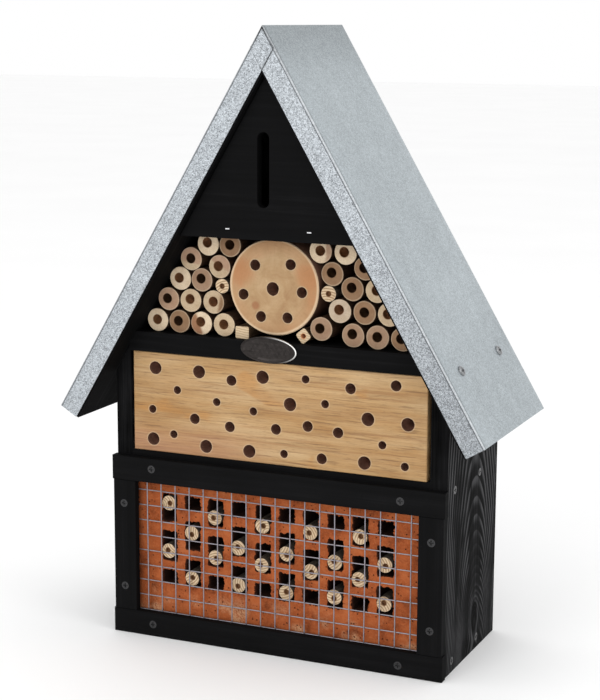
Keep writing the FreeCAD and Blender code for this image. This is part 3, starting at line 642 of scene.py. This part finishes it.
def circle(x, z, r, segments, rough=0.0, phases=(0, 0, 0, 0)):
    angles = [TURN * i / segments for i in range(segments)]
    reach = [r * (1 + rough * wave(a, phases)) for a in angles]
    return [(x + math.cos(a) * d, z + math.sin(a) * d) for a, d in zip(angles, reach)]


def rectangle(x0, x1, z0, z1, step):
    """Corner points of a rectangle with points at most step apart between them."""
    corners = [(x0, z0), (x1, z0), (x1, z1), (x0, z1)]
    points = []
    for (ax, az), (bx, bz) in zip(corners, corners[1:] + corners[:1]):
        count = max(1, round(math.hypot(bx - ax, bz - az) / step))
        points += [(ax + (bx - ax) * i / count, az + (bz - az) * i / count) for i in range(count)]
    return points


def drill(shape, ring, bore, front, phases, ragged):
    """Goes on from a ring in the face to a worn rim and down a bore: slot 0 is the face, slot 1 the bore."""
    x, z, width, _ = bore
    r = width / 2
    levels = ((r + 0.3 * MM, 0.0, 1.0, ragged, 0), (r, 0.4 * MM, -1.0, ragged * 0.5, 1),
              (r * 0.98, 4 * MM, -1.0, 0.0, 1), (r * 0.98, BORE_DEPTH, -1.0, 0.0, 1))
    last = ring
    for radius, depth, edge_tone, rough, slot in levels:
        y = front + depth
        points = circle(x, z, radius, len(ring), rough, phases)
        core = [(px, y - front, edge_tone) if edge_tone < 0 else (px - x, pz - z, edge_tone) for px, pz in points]
        here = shape.ring([(px, y, pz) for px, pz in points], core)
        shape.bridge(last, here, slot)
        last = here
    shape.face(last, 1)


def sides(shape, rim, outline, shoulder, rear):
    """Goes on from the rim of a front face over its eased edge to the shoulder and back to the rear."""
    middle, last = [shape.ring([(x, y, z) for x, z in outline], [(x, z, 0.0) for x, z in outline])
                    for y in (shoulder, rear)]
    shape.bridge(rim, middle)
    shape.bridge(middle, last)
    shape.face(last)


# ---- Finishes of the CAD nodes that stay ----
def dress(material, *nodes):
    for node in nodes:
        for entry in NODES[node].material_slots:
            entry.material = material


dress(black_wood("stain_right_wall", "side", (0.021, 0.0), peak=0.058, tone=0.0080, contrast=6.5, ring=0.0042,
                 bold=0.72, arch=0.020, knots=((0.028, 0.021, 0.009),)), "right_wall")
dress(black_wood("stain_left_wall", "side", (-0.010, 0.0), peak=0.110, tone=0.008, contrast=5.0, ring=0.0042,
                 bold=0.5, arch=0.018, knots=((0.060, -0.012, 0.008),)), "left_wall")
dress(black_wood("stain_stiles", "upright", (0.10, 0.05), (0.03, 0.0), tone=0.0062, contrast=1.0, bold=0.15),
      "frame_left_stile", "frame_right_stile")
dress(black_wood("stain_top_rail", "level", (0.16, 0.03), (0.03, 0.0), tone=0.0065, contrast=1.0, bold=0.15),
      "frame_top_rail")
dress(black_wood("stain_bottom_rail", "level", (0.02, 0.05), (-0.03, 0.0), tone=0.006, contrast=1.0,
                 bold=0.15), "frame_bottom_rail")
dress(black_wood("stain_gable", "level", (0.40, 0.0), (0.05, 0.0), contrast=0.8, bold=0.15), "gable_panel")
dress(black_wood("stain_shelves", "level", (0.20, -0.02), (0.03, 0.0), contrast=1.0, bold=0.15),
      "floor_board", "lower_shelf", "middle_shelf", "upper_shelf")
dress(black_wood("stain_roof", "slope", (0.0, 0.30), (0.04, 0.0), knots=((-0.20, 0.03, 0.006),), tone=0.0055,
                 contrast=1.2, bold=0.2), "left_roof_board", "right_roof_board")
dress(black_wood("stain_back", "upright", (0.02, 0.10), (0.06, 0.0), tone=0.009, contrast=4.5, ring=0.0056,
                 bold=0.5, knots=((0.12, -0.06, 0.010), (0.27, 0.05, 0.009), (0.36, -0.02, 0.007),
                                  (0.06, 0.09, 0.008))), "back_panel")
dress(steel("black_screw", (0.004, 0.004, 0.0045), (0.040, 0.040, 0.042), 0.42, 0.35, 1400.0), "frame_screws")
dress(steel("dark_wall_screw", (0.010, 0.010, 0.0105), (0.11, 0.11, 0.112), 0.36, 0.7, 1400.0), "wall_screws")
dress(steel("roof_screw_zinc", (0.16, 0.165, 0.17), (0.40, 0.41, 0.42), 0.32), "roof_screws")
dress(steel("bright_zinc", (0.62, 0.62, 0.64), (0.86, 0.86, 0.88), 0.34), "gable_staples")
dress(steel("zinc_fixing", (0.42, 0.43, 0.44), (0.62, 0.63, 0.65), 0.34), "mesh_staples", "ridge_nails",
      "shelf_nails", "back_pins", "hanger_screws")
dress(steel("zinc_plate", (0.34, 0.35, 0.36), (0.58, 0.59, 0.61), 0.38, 0.9, 160.0), "left_hanger_plate",
      "right_hanger_plate")


# ---- Roof sheet ----
def roof_sheet():
    """Folded sheet: rounded ridge and front folds, and two front flanges that lap under the ridge."""
    low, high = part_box("roof_sheet")
    half, ridge = high.x, high.z
    thick, fold, ridge_r, flange = 0.6 * MM, 1.3 * MM, 0.4 * MM, 16.7 * MM
    crease, crease_w = 2.5 * MM, 0.55 * MM
    slope = RISE / RUN
    shape = Shape()
    ramp_x = ridge_r * RISE
    arc_z = ridge - ramp_x * slope - ridge_r * RUN

    def top_z(x):
        if abs(x) >= ramp_x:
            return ridge - abs(x) * slope
        return arc_z + math.sqrt(ridge_r ** 2 - x ** 2)

    def profile(skin, length):
        """(depth below the outer face, distance behind the front, painted shade for the crease and the fold's
        foot, painted highlight for the fold) along one skin.
        """
        r = fold - skin
        turns = [math.radians(18 * i) for i in range(6)]
        # (painted shade, painted highlight) at each step round the fold: a dark line at its foot, then a
        # bright line over the bend
        edge_tone = ((1.0, 0.0), (0.5, 0.3), (0.0, 1.0), (0.0, 1.0), (0.0, 0.6), (0.0, 0.2))
        bend = [(fold - r * math.sin(t), fold - r * math.cos(t), *pair) for t, pair in zip(turns, edge_tone)]
        # the crease's bottom carries full painted shade
        groove = [(skin, crease - crease_w, 0.0, 0.1), (skin + (0.0 if skin else 0.2 * MM), crease, 1.0, 0.0),
                  (skin, crease + crease_w, 0.0, 0.0)]
        return bend + groove + [(skin, length * i / 6, 0.0, 0.0) for i in range(1, 7)]

    stations = [ramp_x * i / 4 for i in range(4)] + [ramp_x + (half - ramp_x) * i / 24 for i in range(25)]
    for side, front in ((-1, low.y), (1, low.y + thick)):
        skins = []
        for skin in (0.0, thick):
            rows = []
            for level, back, dark, bright in profile(skin, high.y - front):
                points = [(side * max(0.0, x - level * RISE), front + back, top_z(x) - level * RUN)
                          for x in stations]
                points[0] = (0.0, front + back, top_z(0) - level / RUN)
                # each vertex keeps its painted shade and painted highlight for the slope's material
                rows.append(shape.ring(points, [(dark, bright, 0.0)] * len(points)))
            for a, b in zip(rows, rows[1:]):
                shape.bridge(a, b, closed=False)
            skins.append(rows)
        outer, inner = skins
        shape.bridge(outer[-1], inner[-1], closed=False)
        shape.bridge([row[-1] for row in outer], [row[-1] for row in inner], closed=False)
        lap_x = flange / RUN / (2 * slope)
        eave = ridge - half * slope
        outline = [(side * (half - RISE * fold), eave - RUN * fold), (0.0, ridge - fold / RUN),
                   (-side * lap_x, ridge - lap_x * slope),
                   (side * (half - RISE * flange), eave - RUN * flange)]
        plies = [shape.ring([(x, y, z) for x, z in outline], [(0.0, 0.0, 0.0)] * 4)
                 for y in (front, front + thick)]
        for ply in plies:
            shape.face(ply, 1)
        shape.bridge(*plies, 1)
    shape.object("roof_metal", [zinc_slope(ridge), zinc_fascia(ridge, flange, fold)], "galvanised_sheet",
                 "roof_sheet", sharp=40.0)


roof_sheet()


# ---- Fillings ----
BORE_DEPTH = 68 * MM                    # drawn depth of the bores in the block and the log
TUBE_BORE_DEPTH = 80 * MM
PITH_DEPTH = 3 * MM
HOLE_SEGMENTS, LOG_SEGMENTS = 40, 120
CREAM, PALE, GREY = (0.49, 0.378, 0.250), (0.46, 0.370, 0.275), (0.315, 0.205, 0.135)
# the whitest cream, made paler still with painted light that makes up for the shade the roof casts on some
# tube ends
WHITE_AND_LIT = (0.67, 0.54, 0.385)
TAN, PINK, RUST = (0.245, 0.148, 0.085), (0.40, 0.26, 0.175), (0.30, 0.155, 0.085)
PALE_BORE, DARK_BORE = (1.0, 1.0, 1.0), (0.22, 0.22, 0.24)
# wood at the end of each tube, and where a second wood shows: its colour, its side in degrees, how far in
LEFT_WOOD = ((WHITE_AND_LIT,), (TAN,), (WHITE_AND_LIT, RUST, 200, 0.1), (CREAM,), (PINK,), (CREAM,),
             (CREAM, TAN, -10, 0.45), (WHITE_AND_LIT,), (GREY,), (CREAM, PINK, 60, 0.0), (PINK, CREAM, 260, 0.25),
             (WHITE_AND_LIT,), (TAN,))
RIGHT_WOOD = ((GREY,), (GREY,), (TAN,), (GREY,), (PALE,), (TAN,), (CREAM,), (TAN,), (CREAM,), (TAN,), (TAN,),
              (WHITE_AND_LIT, PINK, 0, 0.4), (WHITE_AND_LIT,))


def two_tone(shade, main, second=None, side=0.0, inset=0.0):
    """Colour over the end of a stick, by the place across it from -1 to 1."""
    angle = math.radians(side)

    def tint_at(u, v):
        share = 0.0
        if second:
            share = min(1.0, max(0.0, (u * math.cos(angle) + v * math.sin(angle) - inset) / 0.15))
        return tuple((a + (b - a) * share) * shade for a, b in zip(main, second or main))
    return tint_at


def nest_sticks():
    bark_dark = bark("dark_bark", (0.018, 0.009, 0.006), (0.085, 0.045, 0.026))
    end = cut_end("tube_end", 1.25 * MM, 0.10)
    bore = bore_wall("stick_bore", (0.16, 0.072, 0.031), (0.46, 0.24, 0.12), 0.010)
    for node, woods in (("left_tubes", LEFT_WOOD), ("right_tubes", RIGHT_WOOD)):
        low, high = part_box(node)
        shape = Shape()
        for number, (stick, wood) in enumerate(zip(sticks_of(node), woods)):
            pick = random.Random(f"{node}{number}")
            tint_at = two_tone(pick.uniform(1.0, 1.12), *wood)
            bore_tint = PALE_BORE if wood[0] in (WHITE_AND_LIT, CREAM, PALE) else DARK_BORE
            add_stick(shape, stick, low.y + pick.uniform(0.0, 0.8) * MM, high.y, TUBE_BORE_DEPTH,
                      f"{node}{number}", tint_at, bore_tint, 1.5 * MM)
        shape.object(node + "_wood", [end, bark_dark, bore], "tube_wood", node)

    peeled = bark("peeled_stick", (0.022, 0.017, 0.013), (0.105, 0.085, 0.066))
    striped = cut_end("striped_end", 2.1 * MM, 0.72)
    pith = bore_wall("pith", (0.20, 0.10, 0.048), (0.16, 0.075, 0.035), 0.006)
    for node, name in (("brick_sticks", "brick_stick_wood"), ("small_sticks", "small_stick_wood")):
        low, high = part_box(node)
        shape = Shape()
        for number, stick in enumerate(sticks_of(node)):
            pick = random.Random(f"{node}{number}")
            tint_at = two_tone(pick.uniform(1.2, 1.4), CREAM)
            add_stick(shape, stick, low.y + pick.uniform(0.0, 0.8) * MM, high.y, PITH_DEPTH,
                      f"{node}{number}", tint_at, PALE_BORE, pick.uniform(6.0, 22.0) * MM, 28)
        shape.object(name, [striped, peeled, pith], "stick_wood", node)


nest_sticks()


def block():
    node = "drilled_block"
    low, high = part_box(node)
    shape = Shape()
    ease = 0.5 * MM
    bores = rims(node)[1:]
    margin = 1.3 * MM
    holes = [circle(x, z, w / 2 + margin, HOLE_SEGMENTS) for x, z, w, _ in bores]
    outline = rectangle(low.x + ease, high.x - ease, low.z + ease, high.z - ease, 6 * MM)
    rings = pierced(shape, outline, holes, [], lambda x, z: low.y, lambda x, z: (x, z, 0.0))
    outer = rectangle(low.x, high.x, low.z, high.z, 6 * MM)
    sides(shape, rings[0], outer, low.y + ease, high.y)
    for number, (bore, ring) in enumerate(zip(bores, rings[1:])):
        pick = random.Random(number)
        phases = phases_of(pick)
        drill(shape, ring, bore, low.y, phases, 0.03)
    inside = bore_wall("block_bore", (0.115, 0.056, 0.038), (0.36, 0.19, 0.135), 0.013)
    shape.object("pine_block", [block_face(), inside], "block_wood", node)


def log():
    node = "drilled_log"
    low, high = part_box(node)
    shape = Shape()
    outline_rim, *bores = rims(node)
    cx, cz, width, _ = outline_rim
    radius, ease = width / 2, 0.7 * MM
    pick = random.Random(5)
    body = phases_of(pick)
    margin = 1.2 * MM
    holes = [circle(x, z, w / 2 + margin, HOLE_SEGMENTS) for x, z, w, _ in bores]

    def edge(r):
        """The slice isn't quite round: its top is 1.3 mm flatter."""
        sawn = circle(cx, cz, r * 0.992, LOG_SEGMENTS, 0.008, body)
        return [(x, z - max(0.0, z - cz) * 0.034) for x, z in sawn]

    rings = pierced(shape, edge(radius - ease), holes, [], lambda x, z: low.y,
                    lambda x, z: (x - cx, z - cz, 0.0))
    last = rings[0]
    for y, slot in ((low.y + ease, 0), (low.y + 0.05, 1), (high.y, 1)):
        points = edge(radius)
        here = shape.ring([(x, y, z) for x, z in points], [(x - cx, z - cz, 0.0) for x, z in points])
        shape.bridge(last, here, slot)
        last = here
    shape.face(last, 1)
    wide_bore = 9 * MM                  # a bore over this is the middle one, with a more ragged rim
    for bore, ring in zip(bores, rings[1:]):
        phases = phases_of(pick)
        drill(shape, ring, bore, low.y, phases, 0.06 if bore[2] > wide_bore else 0.03)
    inside = bore_wall("log_bore", (0.105, 0.052, 0.034), (0.30, 0.155, 0.105), 0.012)
    shape.object("log_slice", [log_end(), inside], "log_wood", node)


def brick():
    node = "brick"
    low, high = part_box(node)
    shape = Shape()
    pick = random.Random(11)
    openings = [rim for rim in rims(node) if rim[2] < 0.1]

    def hole_outline(x, z, w, h, grow, tear, rough):
        """Rounded rectangle with a torn edge: tear is four slow phases and one short step for each point."""
        phases, steps = tear
        points = []
        corner = 1.2 * MM
        for i, step in enumerate(steps):
            a = TURN * (i + 0.5) / len(steps)
            c, s = math.cos(a), math.sin(a)
            hx, hz = w / 2 + grow - corner, h / 2 + grow - corner
            stretch = min((hx + corner) / max(abs(c), 1e-6), (hz + corner) / max(abs(s), 1e-6))
            px, pz = c * stretch, s * stretch
            qx, qz = max(-hx, min(hx, px)), max(-hz, min(hz, pz))
            gap = math.hypot(px - qx, pz - qz)
            if gap > corner:
                px, pz = qx + (px - qx) * corner / gap, qz + (pz - qz) * corner / gap
            bump = 1 + rough * (0.9 * wave(a, phases) + 0.55 * step) * MM / math.hypot(px, pz)
            points.append((x + px * bump, z + pz * bump))
        return points

    tears = [(phases_of(pick), [pick.uniform(-1, 1) for _ in range(60)]) for _ in openings]
    outer_holes = [hole_outline(*rim, 0.8 * MM, tear, 1.2) for rim, tear in zip(openings, tears)]
    step = 3.4 * MM
    clearance = 2.6 * MM
    inner = []
    for i in range(1, int((high.x - low.x) / step)):
        for j in range(1, int((high.z - low.z) / step)):
            px = low.x + (i + pick.uniform(-0.35, 0.35)) * step
            pz = low.z + (j + pick.uniform(-0.35, 0.35)) * step
            clear = all(abs(px - x) > w / 2 + clearance or abs(pz - z) > h / 2 + clearance
                        for x, z, w, h in openings)
            if clear and low.x + 2 * MM < px < high.x - 2 * MM and low.z + 2 * MM < pz < high.z - 2 * MM:
                inner.append((px, pz))
    ease = 0.9 * MM
    outline = rectangle(low.x + ease, high.x - ease, low.z + ease, high.z - ease, 4 * MM)
    rings = pierced(shape, outline, outer_holes, inner, lambda x, z: low.y + pick.uniform(0.0, 0.22) * MM,
                    lambda x, z: (x, z, 0.0))
    cx, cz = (low.x + high.x) / 2, (low.z + high.z) / 2
    wide, tall = 1 + 2 * ease / (high.x - low.x - 2 * ease), 1 + 2 * ease / (high.z - low.z - 2 * ease)
    full = [(cx + (x - cx) * wide, cz + (z - cz) * tall) for x, z in outline]
    sides(shape, rings[0], full, low.y + ease, high.y)
    # (grow and depth in millimetres, edge tone, share of the torn edge, slot) from the face inwards
    levels = ((0.4, 0.0, 1.0, 1.2, 0), (0.1, 0.7, 1.0, 1.1, 1), (0.0, 3.0, -1.0, 0.4, 1),
              (0.0, 64.0, -1.0, 0.0, 1))
    for (x, z, w, h), tear, ring in zip(openings, tears, rings[1:]):
        previous = ring
        for grow, y, edge_tone, rough, slot in levels:
            points = hole_outline(x, z, w, h, grow * MM, tear, rough)
            here = shape.ring([(px, low.y + y * MM, pz) for px, pz in points],
                              [(px - x, y * MM, edge_tone) for px, pz in points])
            shape.bridge(previous, here, slot)
            previous = here
    shape.object("clay_brick", [clay(), clay_hole()], "fired_clay", node)


block()
log()
brick()
dress(offcut(), "log_wedges")


# ---- Wire mesh ----
def mesh_wires():
    metal = steel("galvanised_wire", (0.22, 0.21, 0.235), (0.37, 0.355, 0.395), 0.40, 0.75, 900.0)
    steps, sides = 40, 10
    for node, name, along, across, count in (("mesh_upright_wires", "upright_wire", 2, 0, 21),
                                             ("mesh_level_wires", "level_wire", 0, 2, 10)):
        low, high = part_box(node)
        radius = (high.y - low.y) / 2
        y = (low.y + high.y) / 2
        pick = random.Random(node)
        shape = Shape()
        for number in range(count):
            start = low[across] + radius + (high[across] - low[across] - 2 * radius) * number / (count - 1)
            phase, swing = pick.uniform(0, TURN), pick.uniform(0.05, 0.14) * MM
            last = None
            for i in range(steps + 1):
                t = low[along] + (high[along] - low[along]) * i / steps
                sway = swing * math.sin(phase + t * 38) + pick.uniform(-0.02, 0.02) * MM
                centre = Vector((0, y, 0))
                centre[along], centre[across] = t, start + (sway if 0 < number < count - 1 else 0)
                points = []
                for k in range(sides):
                    a = TURN * k / sides
                    p = centre.copy()
                    p[across] += math.cos(a) * radius
                    p.y += math.sin(a) * radius
                    points.append(p)
                here = shape.ring(points, [(0.0, 0.0, 0.0)] * sides)
                if last:
                    shape.bridge(last, here)
                else:
                    shape.face(here)
                last = here
            shape.face(last)
        shape.object(name, [metal], "mesh_wire", node, sharp=60.0)


mesh_wires()


# ---- Plaque ----
def plaque():
    """Oval pewter plate with a rolled rim and a plain honeycomb in low relief."""
    node = "plaque"
    low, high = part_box(node)
    tilt = math.radians(2.0)
    cx, cz = (low.x + high.x) / 2, (low.z + high.z) / 2
    a, b = 23.95 * MM, 10.45 * MM
    shape = Shape()

    def place(u, v, y):
        return (cx + u * math.cos(tilt) + v * math.sin(tilt), y, cz - u * math.sin(tilt) + v * math.cos(tilt))

    def oval(inset, y, bright):
        turns = [TURN * i / 96 for i in range(96)]
        points = [place(math.cos(t) * (a - inset), math.sin(t) * (b - inset), y) for t in turns]
        # painted highlight, strongest round the right-hand end of the oval
        return shape.ring(points, [(bright * max(0.0, math.cos(t - 0.3)) ** 2, 0.0, 0.0) for t in turns])

    # (inset and depth in millimetres, painted highlight) of the rolled rim and of the dish inside it
    profile = ((0.0, 1.6, 0.0), (0.0, 0.5, 0.5), (0.15, 0.2, 1.0), (0.45, 0.02, 1.0), (0.8, 0.0, 1.0),
               (1.15, 0.06, 0.4), (1.4, 0.3, 0.0), (1.65, 0.6, 0.0), (5.0, 0.66, 0.0), (8.0, 0.66, 0.0),
               (10.0, 0.66, 0.0))
    rings = [oval(inset * MM, low.y + depth * MM, bright) for inset, depth, bright in profile]
    for near, far in zip(rings, rings[1:]):
        shape.bridge(near, far)
    shape.face(rings[0])
    shape.face(rings[-1])
    cell = 2.35 * MM
    floor, crest = low.y + 0.66 * MM, low.y + 0.50 * MM
    for row in range(-2, 3):
        for column in range(-5, 6):
            u, v = (column + (row % 2) / 2) * cell * math.sqrt(3), row * cell * 1.5
            if (u / (a - 4.2 * MM)) ** 2 + (v / (b - 3.4 * MM)) ** 2 > 1:
                continue
            rows = []
            for share, y in ((1.0, floor), (0.90, crest), (0.78, crest), (0.68, floor)):
                corners = [TURN * (k + 0.5) / 6 for k in range(6)]
                points = [place(u + math.cos(t) * cell * share, v + math.sin(t) * cell * share, y)
                          for t in corners]
                rows.append(shape.ring(points, [(0.0, 0.0, 0.0)] * 6))
            for near, far in zip(rows, rows[1:]):
                shape.bridge(near, far)
    shape.object("oval_plate", [pewter()], "plaque_metal", node, sharp=50.0)


plaque()


# ---- Stage ----
CAMERA_PLACE = (0.5560, -1.2619, 0.4987)
CAMERA_AZIMUTH, CAMERA_DROP, CAMERA_ROLL = math.radians(23.852), math.radians(10.719), math.radians(0.261)
LENS, SENSOR = 90.15, 36.0              # millimetres
FLOOR_HALF, FLOOR_DROP = 12.0, 0.2 * MM      # half its side, and how far it lies under the feet


def stage():
    s = Shader("studio_floor")
    paper = s.noise(s.place, 3.0, 3.0)
    s.relief(s.noise(s.place, 400.0, 2.0), 0.00005)
    tone = s.ramp(paper, (0.3, (0.955, 0.955, 0.955)), (0.7, (0.975, 0.975, 0.975)))
    material = s.finish(tone, 0.9, specular=0.1)
    mesh = bpy.data.meshes.new("floor")
    corners = [(x * FLOOR_HALF, y * FLOOR_HALF, 0) for x, y in ((-1, -1), (1, -1), (1, 1), (-1, 1))]
    mesh.from_pydata(corners, [], [(0, 1, 2, 3)])
    mesh.materials.append(material)
    floor = bpy.data.objects.new("floor", mesh)
    floor.location.z = -FLOOR_DROP
    bpy.context.scene.collection.objects.link(floor)

    world = bpy.data.worlds.new("studio")
    world.use_nodes = True
    sky = world.node_tree.nodes["Background"]
    sky.inputs["Color"].default_value = (1.0, 1.0, 1.0, 1.0)
    sky.inputs["Strength"].default_value = 1.0
    bpy.context.scene.world = world


def lamp(name, place, aim, size, power):
    data = bpy.data.lights.new(name, "AREA")
    data.size, data.energy = size, power
    made = bpy.data.objects.new(name, data)
    made.location = place
    made.rotation_euler = (Vector(aim) - Vector(place)).to_track_quat("-Z", "Y").to_euler()
    bpy.context.scene.collection.objects.link(made)


def camera():
    azimuth, drop, roll = CAMERA_AZIMUTH, CAMERA_DROP, CAMERA_ROLL
    back = Vector((math.sin(azimuth) * math.cos(drop), -math.cos(azimuth) * math.cos(drop), math.sin(drop)))
    right = Vector((math.cos(azimuth), math.sin(azimuth), 0.0))
    up = back.cross(right)
    right, up = right * math.cos(roll) + up * math.sin(roll), up * math.cos(roll) - right * math.sin(roll)
    data = bpy.data.cameras.new("camera")
    data.sensor_width, data.lens = SENSOR, LENS
    data.clip_start, data.clip_end = 0.05, 60.0
    made = bpy.data.objects.new("camera", data)
    bpy.context.scene.collection.objects.link(made)
    rotation = Matrix((right, up, back)).transposed().to_4x4()
    made.matrix_world = Matrix.Translation(CAMERA_PLACE) @ rotation
    bpy.context.scene.camera = made


stage()
camera()
lamp("key", (-0.55, -2.4, 1.25), (0.0, 0.0, 0.25), 1.0, 12.6)
lamp("roof_light", (1.8, -0.4, 1.9), (0.05, 0.0, 0.3), 1.2, 8.0)
lamp("front_fill", (0.5, -2.4, 0.6), (0.0, 0.0, 0.25), 1.2, 8.0)
bpy.context.scene.view_settings.view_transform = "Standard"
